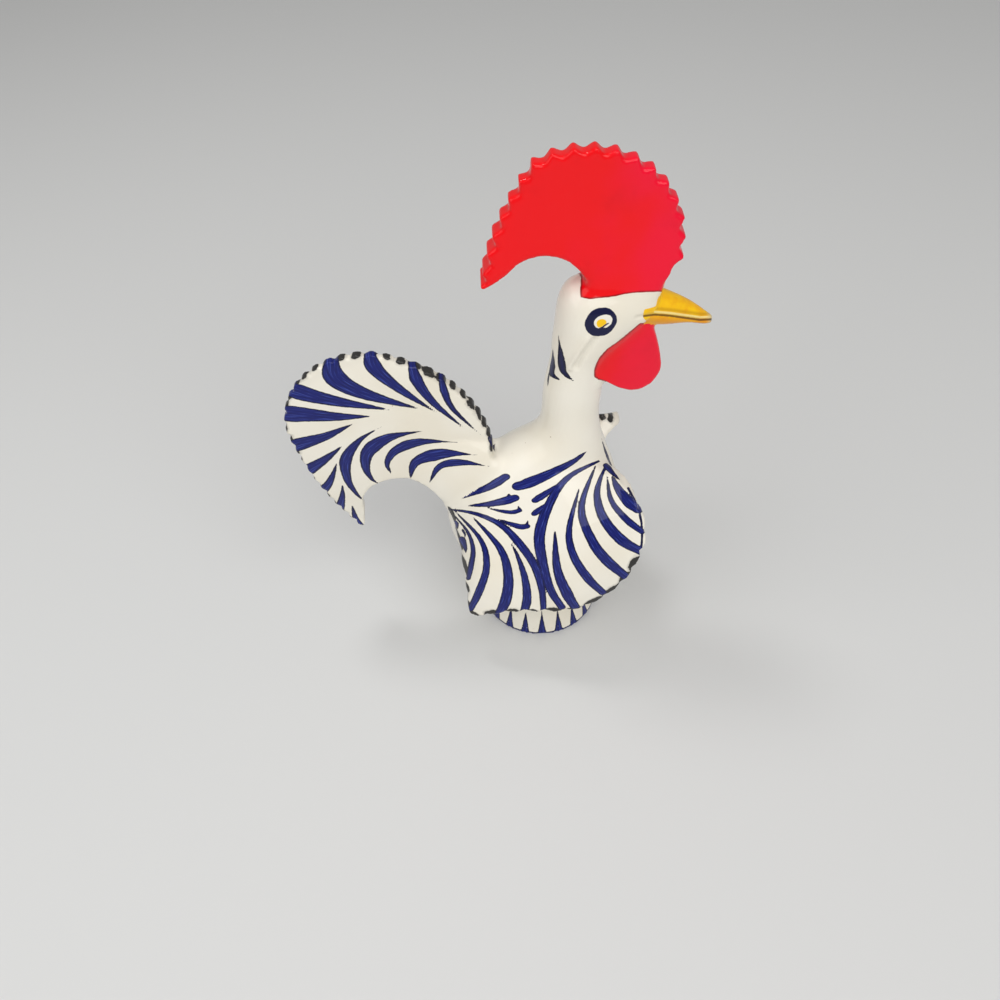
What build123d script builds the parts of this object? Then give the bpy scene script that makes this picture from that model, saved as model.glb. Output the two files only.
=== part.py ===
"""A rooster ornament in glazed earthenware, as the potter's separate pieces before they are luted together.

Millimetres. +X is forward, towards the beak, +Y is the bird's left and +Z is up. The origin is the
middle of the foot, on the surface that it stands on.
"""

import os
from math import cos, radians, sin

from build123d import *

# Heights of the hollow pieces, stacked from the foot upwards.
FOOT_HEIGHT = 30.0
BODY_HEIGHT = 88.0
NECK_HEIGHT = 50.0
HEAD_HEIGHT = 35.0

# Foot, and the wall of every hollow piece.
FOOT_RADIUS = 31.0
FOOT_WAIST_RADIUS = 28.4
FOOT_TOP_RADIUS = 27.0
WALL = 5.0

# Body, at its fullest levels.
BREAST_REACH = 46.5
RUMP_REACH = 46.0
BODY_HALF_WIDTH = 30.5

# Neck: its root on the body, and above that a round tube that leans forward.
NECK_ROOT_X = 12.5
NECK_ROOT_REACH = 18.0
NECK_ROOT_HALF_WIDTH = 15.6
NECK_X = 14.5
NECK_LEAN = 3.6
NECK_RADIUS = 12.7

# Head.
HEAD_REAR = 7.8
HEAD_LENGTH = 48.7
HEAD_HALF_WIDTH = 13.3

# Comb, with its heights measured from the crown of the head.
COMB_MIDDLE_X = 18.0
COMB_MIDDLE_RISE = 16.6
COMB_BACK_RADIUS = 40.6
COMB_TOOTH_COUNT = 18
COMB_TOOTH_DEPTH = 3.3
COMB_ROOT_HALF = 9.0
COMB_RIM_HALF = 3.4
COMB_HOLLOW = 1.4
COMB_BACK_BOW = 3.6
COMB_TIP_X = -22.6
COMB_TIP_RISE = 3.5
COMB_TIP_BLUNT = 2.0
COMB_BAY_X = 2.5
COMB_BAY_DROP = 4.0
COMB_BAY_RADIUS = 18.0
COMB_SEAT_DEPTH = 6.0
COMB_FRONT_SETBACK = 7.4

# Beak, with its lengths measured from the front of the head.
BEAK_REACH = 17.6
BEAK_ROOT_DEPTH = 16.5
BEAK_SEAT_DEPTH = 9.5
BEAK_SEAT_SLOPE = 31.6
BEAK_HALF_WIDTH = 8.1
BEAK_HALF_HEIGHT = 8.8
MOUTH_SLOPE = 18.3
MOUTH_GAP = 0.5

# Wattle.
WATTLE_SETBACK = 14.4
WATTLE_RADIUS = 11.8
WATTLE_DROP = 9.4
WATTLE_ROOT_HALF = 9.6
WATTLE_RIM_HALF = 4.6
WATTLE_BOW = 0.8

# Tail: how far it reaches behind the foot's middle and above the neck's joint.
TAIL_REACH = 115.5
TAIL_RISE = 52.8
TAIL_SCALLOP_COUNT = 34
TAIL_SCALLOP_DEPTH = 2.0
TAIL_ROOT_HALF = 16.5
TAIL_ROOT_TALL = 27.0
TAIL_FLARE_LENGTH = 50.0
TAIL_MIDDLE_HALF = 5.6
TAIL_RIM_HALF = 2.0
TAIL_LENS_RADIUS = 52.0
TAIL_BAY_RADIUS = 20.0

# Wings, of which the left has the shorter lobe in front.
WING_REACH = 46.0
WING_LOBE_BOW = 10.5
RIGHT_LOBE_REACH = 46.0
RIGHT_LOBE_DROP = 44.0
LEFT_LOBE_REACH = 35.0
LEFT_LOBE_DROP = 28.0
WING_SPREAD = 52.0
WING_TOP_DROP = 6.0
WING_TOP_THICKNESS = 12.0
WING_RIM_THICKNESS = 7.0
WING_SCALLOP_PITCH = 10.5
WING_SCALLOP_DEPTH = 1.6

BODY_BASE = FOOT_HEIGHT
NECK_BASE = BODY_BASE + BODY_HEIGHT
HEAD_BASE = NECK_BASE + NECK_HEIGHT
CROWN = HEAD_BASE + HEAD_HEIGHT
HEAD_FRONT = HEAD_REAR + HEAD_LENGTH
NECK_FRONT = NECK_X + NECK_LEAN + NECK_RADIUS
TAIL_TALL = BODY_HEIGHT + TAIL_RISE
WING_TALL = BODY_HEIGHT - WING_TOP_DROP


def egg(height, rear, middle, front, half_width):
    """A level outline whose widest place is at x = middle."""
    ahead = front - middle
    behind = middle - rear
    arcs = []
    for reach, turn in [(ahead, 0), (behind, 90), (behind, 180), (ahead, 270)]:
        arcs.append(EllipticalCenterArc((middle, 0), reach, half_width, turn, arc_size=90))
    return Pos(0, 0, height) * make_face(arcs)


def body_levels():
    """Height, rear, widest place, front and half width, from shares of the body's sizes in that order."""
    form = [
        (0.136, 0.826, 0.02, 0.860, 0.95),
        (0.318, 0.978, 0.015, 1.0, 1.0),
        (0.523, 1.0, -0.03, 0.935, 0.95),
        (0.705, 0.859, -0.02, 0.817, 0.803),
        (0.841, 0.587, 0.08, 0.742, 0.649),
        (0.932, 0.326, 0.18, 0.688, 0.564),
    ]
    rows = [(BODY_BASE, -FOOT_TOP_RADIUS, 0, FOOT_TOP_RADIUS, FOOT_TOP_RADIUS)]
    for up, rear, widest, front, wide in form:
        middle = widest * BREAST_REACH
        height = BODY_BASE + up * BODY_HEIGHT
        rows.append((height, -rear * RUMP_REACH, middle, front * BREAST_REACH, wide * BODY_HALF_WIDTH))
    return rows


def neck_levels():
    """The same for the neck, from shares of its height, its lean, and its radius along and across."""
    form = [
        (0.16, 0.0, 1.12, 1.09),
        (0.44, 0.22, 1.03, 1.01),
        (0.74, 0.64, 0.99, 0.98),
    ]
    root_rear = NECK_ROOT_X - NECK_ROOT_REACH
    root_front = NECK_ROOT_X + NECK_ROOT_REACH
    rows = [(NECK_BASE, root_rear, NECK_ROOT_X, root_front, NECK_ROOT_HALF_WIDTH)]
    for up, lean, along, across in form:
        middle = NECK_X + lean * NECK_LEAN
        reach = along * NECK_RADIUS
        height = NECK_BASE + up * NECK_HEIGHT
        rows.append((height, middle - reach, middle, middle + reach, across * NECK_RADIUS))
    return rows


def head_levels():
    """The same for the head, from shares of its height, its length for three places, and its half width."""
    form = [
        (0.0, -0.037, 0.226, 0.497, 0.955),
        (0.23, -0.021, 0.251, 0.671, 0.985),
        (0.457, -0.004, 0.271, 0.856, 1.0),
        (0.657, 0.012, 0.275, 1.0, 0.955),
        (0.83, 0.049, 0.271, 1.01, 0.812),
        (0.943, 0.117, 0.267, 0.938, 0.534),
        (1.0, 0.195, 0.287, 0.795, 0.248),
    ]
    rows = []
    for up, rear, widest, front, wide in form:
        places = [HEAD_REAR + share * HEAD_LENGTH for share in (rear, widest, front)]
        rows.append((HEAD_BASE + up * HEAD_HEIGHT, *places, wide * HEAD_HALF_WIDTH))
    return rows


def figure_levels():
    """All levels of body, neck and head, from the foot to the crown."""
    return body_levels() + neck_levels() + head_levels()


def figure_outside():
    """Body, neck and head as one smooth closed form."""
    return loft([egg(*row) for row in figure_levels()])


def figure_hollow():
    """The hollow inside the same form, one wall in from it, open below and closed under the crown."""
    levels_of_solid_crown = 3
    rows = figure_levels()[:-levels_of_solid_crown]
    rows.insert(0, (BODY_BASE - WALL, *rows[0][1:]))
    levels = [egg(z, rear + WALL, middle, front - WALL, half - WALL) for z, rear, middle, front, half in rows]
    return loft(levels)


def between(solid, low, high):
    """The part of a solid between two heights, where a joint was cut."""
    reach = 4 * FOOT_RADIUS + TAIL_REACH
    slab = Pos(0, 0, (low + high) / 2) * Box(reach, reach, high - low)
    return solid & slab


def largest(shape):
    """The one piece that stays when a cut leaves crumbs."""
    return max(shape.solids(), key=lambda solid: solid.volume)


def upright(edges, half):
    """A slab from an outline in x and z, reaching half to each side."""
    return extrude(Plane.XZ * make_face(edges), amount=half, both=True)


def polar(middle, radius, angle):
    """A point on a circle, with the angle in degrees from forward to up."""
    return middle + Vector(cos(radians(angle)), sin(radians(angle))) * radius


def taper(start, start_half, end, end_half, bow):
    """A strip about the first axis whose half width goes from one size to another in a shallow curve."""
    middle = ((start + end) / 2, (start_half + end_half) / 2 + bow)
    return make_face([
        ThreePointArc((start, start_half), middle, (end, end_half)),
        Line((end, end_half), (end, -end_half)),
        ThreePointArc((end, -end_half), (middle[0], -middle[1]), (start, -start_half)),
        Line((start, -start_half), (start, start_half)),
    ])


def notched(rim, count, depth, inside, pointed):
    """Teeth of equal pitch along a rim: straight-sided ones if pointed, and otherwise round lobes."""
    valleys = []
    tips = []
    for step in range(count + 1):
        place = rim @ (step / count)
        valleys.append(place + (inside - place).normalized() * depth)
    for step in range(count):
        tips.append(rim @ ((step + 0.5) / count))
    edges = []
    for start, tip, end in zip(valleys, tips, valleys[1:]):
        if pointed:
            edges += [Line(start, tip), Line(tip, end)]
        else:
            edges.append(ThreePointArc(start, tip, end))
    return edges, valleys[0], valleys[-1]


def make_foot():
    """A tapered ring that flares to its standing edge."""
    profile = [
        Line((FOOT_RADIUS - WALL, 0), (FOOT_RADIUS, 0)),
        ThreePointArc((FOOT_RADIUS, 0), (FOOT_WAIST_RADIUS, FOOT_HEIGHT / 2), (FOOT_TOP_RADIUS, FOOT_HEIGHT)),
        Line((FOOT_TOP_RADIUS, FOOT_HEIGHT), (FOOT_TOP_RADIUS - WALL, FOOT_HEIGHT)),
        Line((FOOT_TOP_RADIUS - WALL, FOOT_HEIGHT), (FOOT_RADIUS - WALL, 0)),
    ]
    return revolve(Plane.XZ * make_face(profile), Axis.Z)


def beak_seat():
    """The slanting face on the front of the head that the beak is luted to."""
    rise_share = 0.643
    middle = (HEAD_FRONT - BEAK_SEAT_DEPTH, 0, HEAD_BASE + rise_share * HEAD_HEIGHT)
    outward = (cos(radians(BEAK_SEAT_SLOPE)), 0, -sin(radians(BEAK_SEAT_SLOPE)))
    return Plane(middle, x_dir=(0, 1, 0), z_dir=outward)


def make_beak():
    """A cone that droops to a blunt tip, cut along the mouth into its two halves."""
    root = HEAD_FRONT - BEAK_ROOT_DEPTH
    length = BEAK_ROOT_DEPTH + BEAK_REACH
    form = [
        (0.0, 0.634, 1.14),
        (0.24, 0.589, 0.98),
        (0.475, 0.520, 0.79),
        (0.71, 0.451, 0.55),
        (0.89, 0.365, 0.36),
        (1.0, 0.328, 0.19),
    ]
    sections = []
    for along, up, size in form:
        middle = (root + along * length, 0, HEAD_BASE + up * HEAD_HEIGHT)
        place = Plane(middle, x_dir=(0, 1, 0), z_dir=(1, 0, 0))
        sections.append(place * Ellipse(BEAK_HALF_WIDTH * size, BEAK_HALF_HEIGHT * size))
    whole = split(loft(sections), beak_seat(), Keep.TOP)
    mouth_share = 0.589
    corner = (HEAD_FRONT - BEAK_SEAT_DEPTH, 0, HEAD_BASE + mouth_share * HEAD_HEIGHT)
    down = sin(radians(MOUTH_SLOPE))
    ahead = cos(radians(MOUTH_SLOPE))
    mouth = Plane(corner, x_dir=(ahead, 0, -down), z_dir=(down, 0, ahead))
    upper = split(whole, mouth.offset(MOUTH_GAP / 2), Keep.TOP)
    lower = split(whole, mouth.offset(-MOUTH_GAP / 2), Keep.BOTTOM)
    return upper, lower


def make_comb():
    """A slab with a saw edge on its round back and a hook behind, thicker at its root."""
    front_angle = -14
    shoulder_angle = 118
    middle = Vector(COMB_MIDDLE_X, CROWN + COMB_MIDDLE_RISE)
    shoulder = polar(middle, COMB_BACK_RADIUS, shoulder_angle)
    tip = Vector(COMB_TIP_X, CROWN + COMB_TIP_RISE)
    chord = (tip - shoulder).normalized()
    bend = (shoulder + tip) / 2 + Vector(chord.Y, -chord.X) * COMB_BACK_BOW
    crest = polar(middle, COMB_BACK_RADIUS, (front_angle + shoulder_angle) / 2)
    rim = Wire([
        ThreePointArc(polar(middle, COMB_BACK_RADIUS, front_angle), crest, shoulder),
        ThreePointArc(shoulder, bend, tip),
    ])
    teeth, front, rear = notched(rim, COMB_TOOTH_COUNT, COMB_TOOTH_DEPTH, middle, True)
    bay = Vector(COMB_BAY_X, CROWN - COMB_BAY_DROP)
    bay_start, bay_top, bay_end = (polar(bay, COMB_BAY_RADIUS, angle) for angle in (143, 72, -6))
    tip_rear = tip + Vector(-0.3, -0.5) * COMB_TIP_BLUNT
    tip_low = tip + Vector(0.15, -1.15) * COMB_TIP_BLUNT
    tip_under = tip + Vector(1.0, -1.0) * COMB_TIP_BLUNT
    root_rear = Vector(bay_end.X, CROWN - COMB_SEAT_DEPTH)
    root_front = Vector(HEAD_FRONT - COMB_FRONT_SETBACK, CROWN - COMB_SEAT_DEPTH)
    outline = teeth + [
        Line(rear, tip_rear),
        ThreePointArc(tip_rear, tip_low, tip_under),
        Line(tip_under, bay_start),
        ThreePointArc(bay_start, bay_top, bay_end),
        Line(bay_end, root_rear),
        Line(root_rear, root_front),
        Line(root_front, front),
    ]
    top = CROWN + COMB_MIDDLE_RISE + COMB_BACK_RADIUS
    side = Plane((0, 0, 0), x_dir=(0, 0, 1), z_dir=(1, 0, 0))
    section = side * taper(CROWN - COMB_SEAT_DEPTH, COMB_ROOT_HALF, top, COMB_RIM_HALF, -COMB_HOLLOW)
    thickness = extrude(section, amount=2 * COMB_BACK_RADIUS + HEAD_FRONT, both=True)
    return upright(outline, 2 * COMB_ROOT_HALF) & thickness


def make_wattle():
    """A drop that hangs from the throat, thicker where it is pressed on."""
    middle = Vector(HEAD_FRONT - WATTLE_SETBACK, HEAD_BASE - WATTLE_DROP)
    low_rear, low_front, brow = (polar(middle, WATTLE_RADIUS, angle) for angle in (228, 290, 5))
    gape_share = 0.43
    level = HEAD_BASE + gape_share * HEAD_HEIGHT
    chin = Vector(HEAD_FRONT - BEAK_SEAT_DEPTH + MOUTH_GAP, level)
    gape = Vector(HEAD_FRONT - BEAK_ROOT_DEPTH, level)
    inside_neck = NECK_FRONT - 0.75 * NECK_RADIUS
    throat = Vector(inside_neck, HEAD_BASE)
    heel = Vector(inside_neck, HEAD_BASE - 1.15 * WATTLE_RADIUS)
    bulge = (brow + chin) / 2 + Vector(WATTLE_BOW, 0)
    outline = [
        Line(heel, low_rear),
        ThreePointArc(low_rear, low_front, brow),
        ThreePointArc(brow, bulge, chin),
        Line(chin, gape),
        Line(gape, throat),
        Line(throat, heel),
    ]
    front = middle.X + WATTLE_RADIUS + WATTLE_BOW
    section = taper(inside_neck, WATTLE_ROOT_HALF, front, WATTLE_RIM_HALF, WATTLE_BOW)
    thickness = extrude(section, amount=2 * CROWN, both=True)
    return upright(outline, 2 * WATTLE_ROOT_HALF) & thickness


def tail_place(back, up):
    """A place in x and z, from shares of the tail's reach and of its height above the foot."""
    return Vector(-back * TAIL_REACH, BODY_BASE + up * TAIL_TALL)


def make_tail():
    """A scalloped slab that rises from the back and curls down to a hooked tip."""
    root = tail_place(0.182, 0.586)
    peak = tail_place(0.623, 1.0)
    far = tail_place(1.0, 0.721)
    tip = tail_place(0.784, 0.221)
    rim = Wire([
        ThreePointArc(root, tail_place(0.325, 0.861), peak),
        ThreePointArc(peak, tail_place(0.883, 0.929), far),
        ThreePointArc(far, tail_place(0.933, 0.482), tip),
    ])
    bay = tail_place(0.584, 0.343)
    scallops, start, end = notched(rim, TAIL_SCALLOP_COUNT, TAIL_SCALLOP_DEPTH, bay, False)
    bay_start, bay_top, bay_end = (polar(bay, TAIL_BAY_RADIUS, angle) for angle in (188, 98, -8))
    seat_low = tail_place(0.208, 0.286)
    seat_high = tail_place(0.069, 0.5)
    outline = scallops + [
        Line(end, bay_start),
        ThreePointArc(bay_start, bay_top, bay_end),
        Line(bay_end, seat_low),
        Line(seat_low, seat_high),
        Line(seat_high, start),
    ]
    return upright(outline, 2 * TAIL_ROOT_HALF) & (tail_lens() + tail_flare())


def tail_heart():
    """The thickest place of the tail's slab, on its middle plane."""
    heart = tail_place(0.589, 0.607)
    return Vector(heart.X, 0, heart.Y)


def tail_lens():
    """The tail's thickness: a disc that thins from its heart to the rim."""
    wide = 2 * TAIL_REACH
    belly = (TAIL_LENS_RADIUS / 2, 0.25 * TAIL_RIM_HALF + 0.75 * TAIL_MIDDLE_HALF)
    half = revolve(make_face([
        Line((0, 0), (0, TAIL_MIDDLE_HALF)),
        ThreePointArc((0, TAIL_MIDDLE_HALF), belly, (TAIL_LENS_RADIUS, TAIL_RIM_HALF)),
        Line((TAIL_LENS_RADIUS, TAIL_RIM_HALF), (wide, TAIL_RIM_HALF)),
        Line((wide, TAIL_RIM_HALF), (wide, 0)),
        Line((wide, 0), (0, 0)),
    ]), Axis.Y)
    return Pos(tail_heart()) * (half + mirror(half, about=Plane.XZ))


def tail_flare():
    """The swelling by which the tail's slab grows out of the back."""
    seat = tail_place(0.173, 0.4)
    seat = Vector(seat.X, 0, seat.Y)
    along = (tail_heart() - seat).normalized()
    form = [
        (0.0, TAIL_ROOT_HALF, 1.0),
        (0.52, 0.58 * TAIL_ROOT_HALF, 0.93),
        (1.0, 0.85 * TAIL_MIDDLE_HALF, 0.81),
    ]
    sections = []
    for way, half_width, tall in form:
        place = Plane(seat + along * way * TAIL_FLARE_LENGTH, x_dir=(0, 1, 0), z_dir=along)
        sections.append(place * Ellipse(half_width, tall * TAIL_ROOT_TALL))
    return loft(sections)


def wing_section(along, thickness, *places):
    """One cut across the wing: a bowed strip from its seat on the back, over its swell, to its free rim."""
    top, swell, rim = (
        Vector(along * WING_REACH, -out * WING_SPREAD, BODY_BASE + up * WING_TALL) for out, up in places
    )
    down = (rim - top).normalized()
    inward = Vector(0, -down.Z, down.Y)
    inward = inward * thickness
    swell_thickness = (WING_TOP_THICKNESS + WING_RIM_THICKNESS) / 2
    top_inside = top + inward * WING_TOP_THICKNESS
    swell_inside = swell + inward * swell_thickness
    rim_inside = rim + inward * WING_RIM_THICKNESS
    return Face(Wire([
        ThreePointArc(top, swell, rim),
        Line(rim, rim_inside),
        ThreePointArc(rim_inside, swell_inside, top_inside),
        Line(top_inside, top),
    ]))


def wing_place(along, up):
    """A place in x and z, from shares of the wing's reach and height."""
    return Vector(along * WING_REACH, BODY_BASE + up * WING_TALL)


def make_right_wing(lobe_reach, lobe_drop):
    """A bowed slab that flares out from the back, with a round lobe in front and scallops all round."""
    slab = loft([
        wing_section(-1.087, 1, (0.115, 0.585), (0.385, 0.341), (0.692, -0.073)),
        wing_section(-0.783, 1, (0.183, 0.756), (0.567, 0.402), (0.788, -0.049)),
        wing_section(-0.435, 1, (0.192, 0.915), (0.654, 0.524), (0.856, 0.012)),
        wing_section(0, 1, (0.288, 1.0), (0.712, 0.610), (0.938, 0.098)),
        wing_section(0.435, 1, (0.288, 0.988), (0.735, 0.690), (0.930, 0.195)),
        wing_section(0.739, 0.8, (0.320, 0.957), (0.692, 0.683), (0.865, 0.293)),
        wing_section(0.913, 0.6, (0.460, 0.915), (0.654, 0.732), (0.827, 0.390)),
        wing_section(1.087, 0.5, (0.530, 0.890), (0.654, 0.732), (0.808, 0.463)),
    ])
    brow = wing_place(0.652, 0.951)
    chest = Vector(lobe_reach, NECK_BASE - lobe_drop)
    keel = wing_place(0.217, 0.177)
    heel = wing_place(-0.837, 0.006)
    rump = wing_place(-1.0, 0.634)
    rim = Wire([
        ThreePointArc(brow, (brow + chest) / 2 + Vector(0.9, 0.1) * WING_LOBE_BOW, chest),
        ThreePointArc(chest, (chest + keel) / 2 + Vector(0.52, -0.57) * WING_LOBE_BOW, keel),
        ThreePointArc(keel, wing_place(-0.283, 0.122), heel),
        ThreePointArc(heel, wing_place(-0.874, 0.366), rump),
    ])
    count = round(rim.length / WING_SCALLOP_PITCH)
    scallops, start, end = notched(rim, count, WING_SCALLOP_DEPTH, wing_place(0, 0.732), False)
    above = NECK_BASE + WING_TOP_DROP
    outline = scallops + [
        Line(end, (end.X, above)),
        Line((end.X, above), (start.X, above)),
        Line((start.X, above), start),
    ]
    return slab & upright(outline, 2 * WING_SPREAD)


os.makedirs("parts", exist_ok=True)

outside = figure_outside()
shell = outside - figure_hollow()
nose = split(between(outside, HEAD_BASE, CROWN), beak_seat(), Keep.TOP)
skin = outside - nose
upper_beak, lower_beak = make_beak()
tail = make_tail() - outside
right_wing = make_right_wing(RIGHT_LOBE_REACH, RIGHT_LOBE_DROP)
left_wing = mirror(make_right_wing(LEFT_LOBE_REACH, LEFT_LOBE_DROP), about=Plane.XZ)

pieces = {
    "foot": make_foot(),
    "body": between(shell, BODY_BASE, NECK_BASE),
    "neck": between(shell, NECK_BASE, HEAD_BASE),
    "head": between(shell, HEAD_BASE, CROWN) - nose,
    "comb": make_comb() - skin - upper_beak,
    "upper_beak": upper_beak,
    "lower_beak": lower_beak,
    "wattle": make_wattle() - skin - lower_beak,
    "tail": tail,
    "right_wing": right_wing - outside - tail,
    "left_wing": left_wing - outside - tail,
}
for name, shape in pieces.items():
    export_step(largest(shape), f"parts/{name}.step")
    print(name, len(shape.solids()), round(shape.volume / 1000, 1))
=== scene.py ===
from math import pi, radians, tau

import bmesh
import bpy
import numpy as np
from mathutils import Matrix, Vector
from mathutils.bvhtree import BVHTree


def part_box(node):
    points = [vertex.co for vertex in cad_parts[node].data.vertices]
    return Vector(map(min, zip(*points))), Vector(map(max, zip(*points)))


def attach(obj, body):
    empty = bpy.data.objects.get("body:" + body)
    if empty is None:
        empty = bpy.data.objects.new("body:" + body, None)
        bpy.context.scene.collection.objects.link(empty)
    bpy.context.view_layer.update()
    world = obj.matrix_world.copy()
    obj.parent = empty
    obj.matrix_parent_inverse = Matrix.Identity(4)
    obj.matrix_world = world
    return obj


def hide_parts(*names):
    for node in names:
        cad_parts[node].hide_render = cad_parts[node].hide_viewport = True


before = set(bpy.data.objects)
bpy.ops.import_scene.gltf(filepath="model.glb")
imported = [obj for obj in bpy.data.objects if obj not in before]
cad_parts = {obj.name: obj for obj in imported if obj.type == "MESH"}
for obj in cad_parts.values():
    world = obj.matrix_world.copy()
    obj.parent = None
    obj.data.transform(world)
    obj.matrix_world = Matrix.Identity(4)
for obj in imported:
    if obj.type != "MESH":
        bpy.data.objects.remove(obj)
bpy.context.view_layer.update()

scene = bpy.context.scene
scene.view_settings.view_transform = "Standard"
MM = 0.001

# The viewpoint.
# The bird's right side is seen from half a metre away and 47 degrees above the table.
VIEW_PLACE = Vector((-19.3, -326.0, 423.7)) * MM
VIEW_DOWN = radians(47)
VIEW_ROLL = radians(-3)
VIEW_LENS = 34.2
VIEW_SENSOR = 36.0
VIEW_NEAR = 10 * MM

camera = bpy.data.objects.new("camera", bpy.data.cameras.new("camera"))
scene.collection.objects.link(camera)
camera.data.lens = VIEW_LENS
camera.data.sensor_width = VIEW_SENSOR
camera.data.clip_start = VIEW_NEAR
tilt = Matrix.Rotation(pi / 2 - VIEW_DOWN, 4, "X") @ Matrix.Rotation(VIEW_ROLL, 4, "Z")
camera.matrix_world = Matrix.Translation(VIEW_PLACE) @ tilt
scene.camera = camera

# The table and the light.
# A plain pale table under one large soft window of light from the front right, with a weak fill and a
# small lamp above that gives the glaze its glints.
FLOOR_HALF = 3.0
FLOOR_COLOUR = (0.66, 0.66, 0.65, 1)
FLOOR_ROUGHNESS = 0.6
SKY_COLOUR = (1.0, 1.0, 1.0, 1)
SKY_STRENGTH = 0.34
LAMPS = [  # name, place and aim in metres, width in metres, power in watts
    ("window", (0.5, -1.1, 1.3), (0, 0, 0.14), 1.6, 20),
    ("fill", (-0.9, -0.45, 0.8), (0, 0, 0.12), 1.0, 4.5),
    ("roof light", (-0.3, 0.3, 1.2), (0, 0, 0.14), 0.22, 2.5),
]


def node(tree, kind, inputs=None, **settings):
    """One node with its settings made and its sockets filled or linked."""
    made = tree.nodes.new(kind)
    for key, value in settings.items():
        setattr(made, key, value)
    for socket, value in (inputs or {}).items():
        if isinstance(value, bpy.types.NodeSocket):
            tree.links.new(value, made.inputs[socket])
        else:
            made.inputs[socket].default_value = value
    return made


def new_material(name):
    """An empty material with its tree and its shader."""
    material = bpy.data.materials.new(name)
    material.use_nodes = True
    return material, material.node_tree, material.node_tree.nodes["Principled BSDF"]


floor_mesh = bpy.data.meshes.new("floor")
corners = [(x * FLOOR_HALF, y * FLOOR_HALF, 0) for x, y in [(-1, -1), (1, -1), (1, 1), (-1, 1)]]
floor_mesh.from_pydata(corners, [], [(0, 1, 2, 3)])
floor = bpy.data.objects.new("floor", floor_mesh)
scene.collection.objects.link(floor)
floor_material, _, floor_shader = new_material("table")
floor_shader.inputs["Base Color"].default_value = FLOOR_COLOUR
floor_shader.inputs["Roughness"].default_value = FLOOR_ROUGHNESS
floor_mesh.materials.append(floor_material)


def soft_light(name, place, aim, width, power):
    """A square soft box that faces a point."""
    lamp = bpy.data.lights.new(name, "AREA")
    lamp.size = width
    lamp.energy = power
    lamp_object = bpy.data.objects.new(name, lamp)
    lamp_object.location = place
    lamp_object.rotation_mode = "QUATERNION"
    lamp_object.rotation_quaternion = (Vector(aim) - Vector(place)).to_track_quat("-Z", "Y")
    scene.collection.objects.link(lamp_object)


for lamp_sizes in LAMPS:
    soft_light(*lamp_sizes)
world = bpy.data.worlds.new("room")
world.use_nodes = True
world.node_tree.nodes["Background"].inputs["Color"].default_value = SKY_COLOUR
world.node_tree.nodes["Background"].inputs["Strength"].default_value = SKY_STRENGTH
scene.world = world

# The luted figure.
# The potter's pieces are stuck together with slip, smoothed over and glazed, so their outer skin is one
# surface with soft edges. It is made whole here and handed to the pieces that it belongs to.
VOXEL = 0.8 * MM
MERGE_GAP = 0.001 * MM
FOOT_CAP_SIDES = 96
FOOT_WALL = 5 * MM
JOINT_REACH = 7 * MM
EDGE_ROUNDS = 3
ROUNDED_ROUNDS = {"comb": 8, "left_wing": 8, "right_wing": 2}
WATTLE_ROUNDS = 8
JOINT_ROUNDS = 50
OWNER_ROUNDS = 4
SMOOTHING = 0.5
SWELLING = -0.52
JOINT_SOFTNESS = {"upper_beak": 0.1, "lower_beak": 0.1, "wattle": 0.4}
# Lines are in millimetres on the middle plane; a press is a half width and a height, in where it is minus.
MOUTH_LINE = [(42, 182), (45, 182.5), (49.5, 183), (56, 182), (62.5, 180.5), (69, 179), (75, 179)]
MOUTH_PRESS = (1.1 * MM, -0.8 * MM)
CHEEK_CREASE = [(24.5, 171.5), (20.5, 164.5), (17, 157)]
CREASE_PRESS = (2.4 * MM, -1.2 * MM)
CHEEK_RIDGE = [(22.3, 171.5), (18, 164.5), (14.5, 157)]
RIDGE_PRESS = (3.0 * MM, 1.0 * MM)
WATTLE_UNDERSIDE = [
    (20, 151), (25.5, 150.5), (30, 148.5), (36.5, 144), (42, 142), (46.5, 142.3), (51, 145.5),
]
WATTLE_FRONT = 52 * MM
WATTLE_FADE = 5 * MM
LOBE_LIFT = 5 * MM
LOBE_START = (24 * MM, 72 * MM)
LOBE_FULL = (32 * MM, 84 * MM)
UNPAINTED = (0, 1, 0)
NO_PAINT = -1.0
FADE_DEPTH = 6 * MM
FADE_START = 0.15
FADE_END = -0.1


def raw_skin():
    """The outside of all the pieces together as one mesh of small squares."""
    whole = bmesh.new()
    for cad_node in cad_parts.values():
        whole.from_mesh(cad_node.data)
    bmesh.ops.remove_doubles(whole, verts=whole.verts, dist=MERGE_GAP)
    foot_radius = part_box("foot")[1].x
    bmesh.ops.create_circle(whole, cap_ends=True, segments=FOOT_CAP_SIDES, radius=foot_radius)
    mesh = bpy.data.meshes.new("whole")
    whole.to_mesh(mesh)
    whole.free()
    holder = bpy.data.objects.new("whole", mesh)
    scene.collection.objects.link(holder)
    remesh = holder.modifiers.new("squares", "REMESH")
    remesh.mode = "VOXEL"
    remesh.voxel_size = VOXEL
    skin = bpy.data.meshes.new_from_object(holder.evaluated_get(bpy.context.evaluated_depsgraph_get()))
    bpy.data.objects.remove(holder)
    points = np.zeros(len(skin.vertices) * 3)
    skin.vertices.foreach_get("co", points)
    quads = np.zeros(len(skin.loops), np.int64)
    skin.loops.foreach_get("vertex_index", quads)
    return points.reshape(-1, 3), quads.reshape(-1, 4)


def edges_of(quads):
    """Each edge of the squares once, as its two ends in order."""
    pairs = np.concatenate([quads[:, [i, (i + 1) % 4]] for i in range(4)])
    return np.unique(np.sort(pairs, axis=1), axis=0)


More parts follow.
